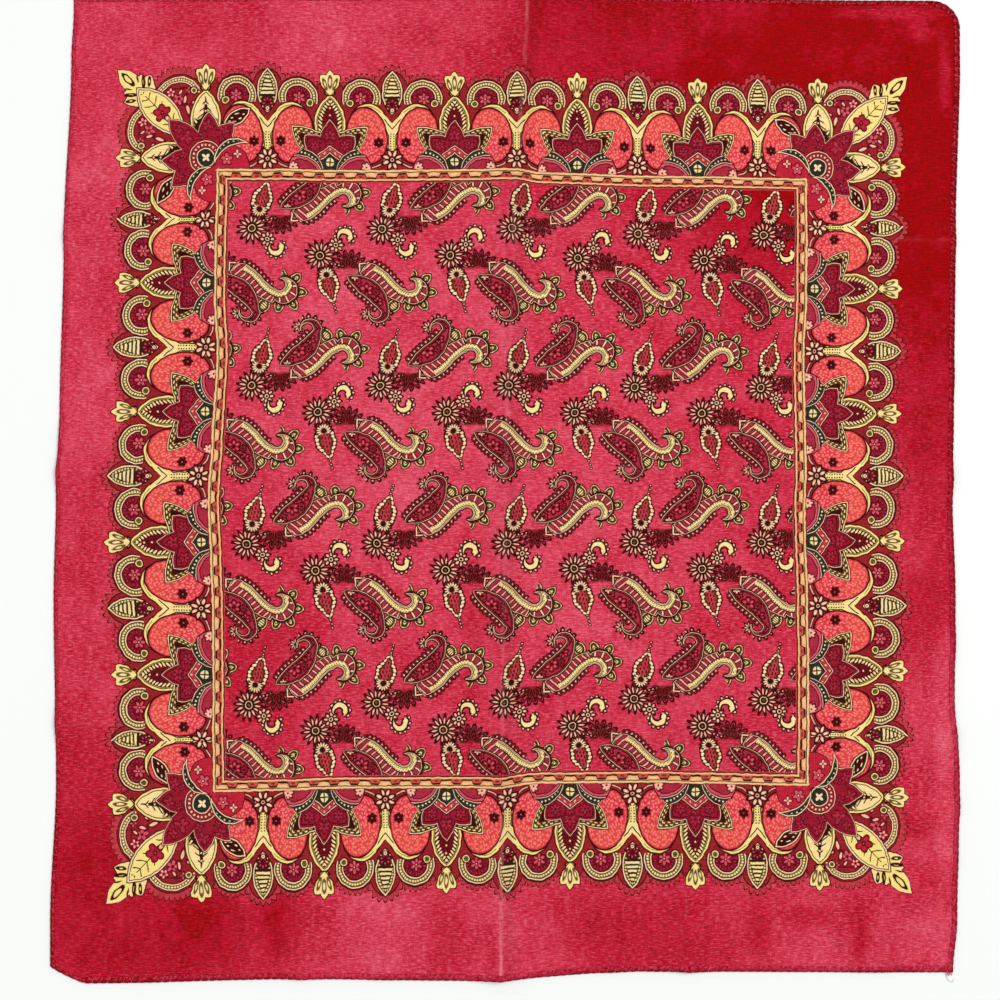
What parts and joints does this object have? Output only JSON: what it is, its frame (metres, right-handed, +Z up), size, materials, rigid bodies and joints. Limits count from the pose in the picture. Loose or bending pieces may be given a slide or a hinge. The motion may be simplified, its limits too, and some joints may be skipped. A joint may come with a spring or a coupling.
{
  "type": "bandana",
  "caption": "Square printed neckerchief of thin cloth with rolled hems, lying open and flat with its fold creases.",
  "frame": {"origin": "middle of the cloth's box, on the surface that it lies on", "axes": "+Z up from the surface, +Y along the longer side to the cloth's upper edge, +X to its right edge"},
  "size_m": [0.5368, 0.5828, 0.005],
  "materials": {
    "cloth": "thin printed woven cloth, matt",
    "hem": "rolled and stitched cloth, matt"
  },
  "bodies": {
    "root": {"cloth_panel": "cloth", "hem_left": "hem", "hem_bottom": "hem", "hem_right": "hem", "hem_top": "hem"}
  },
  "joints": []
}
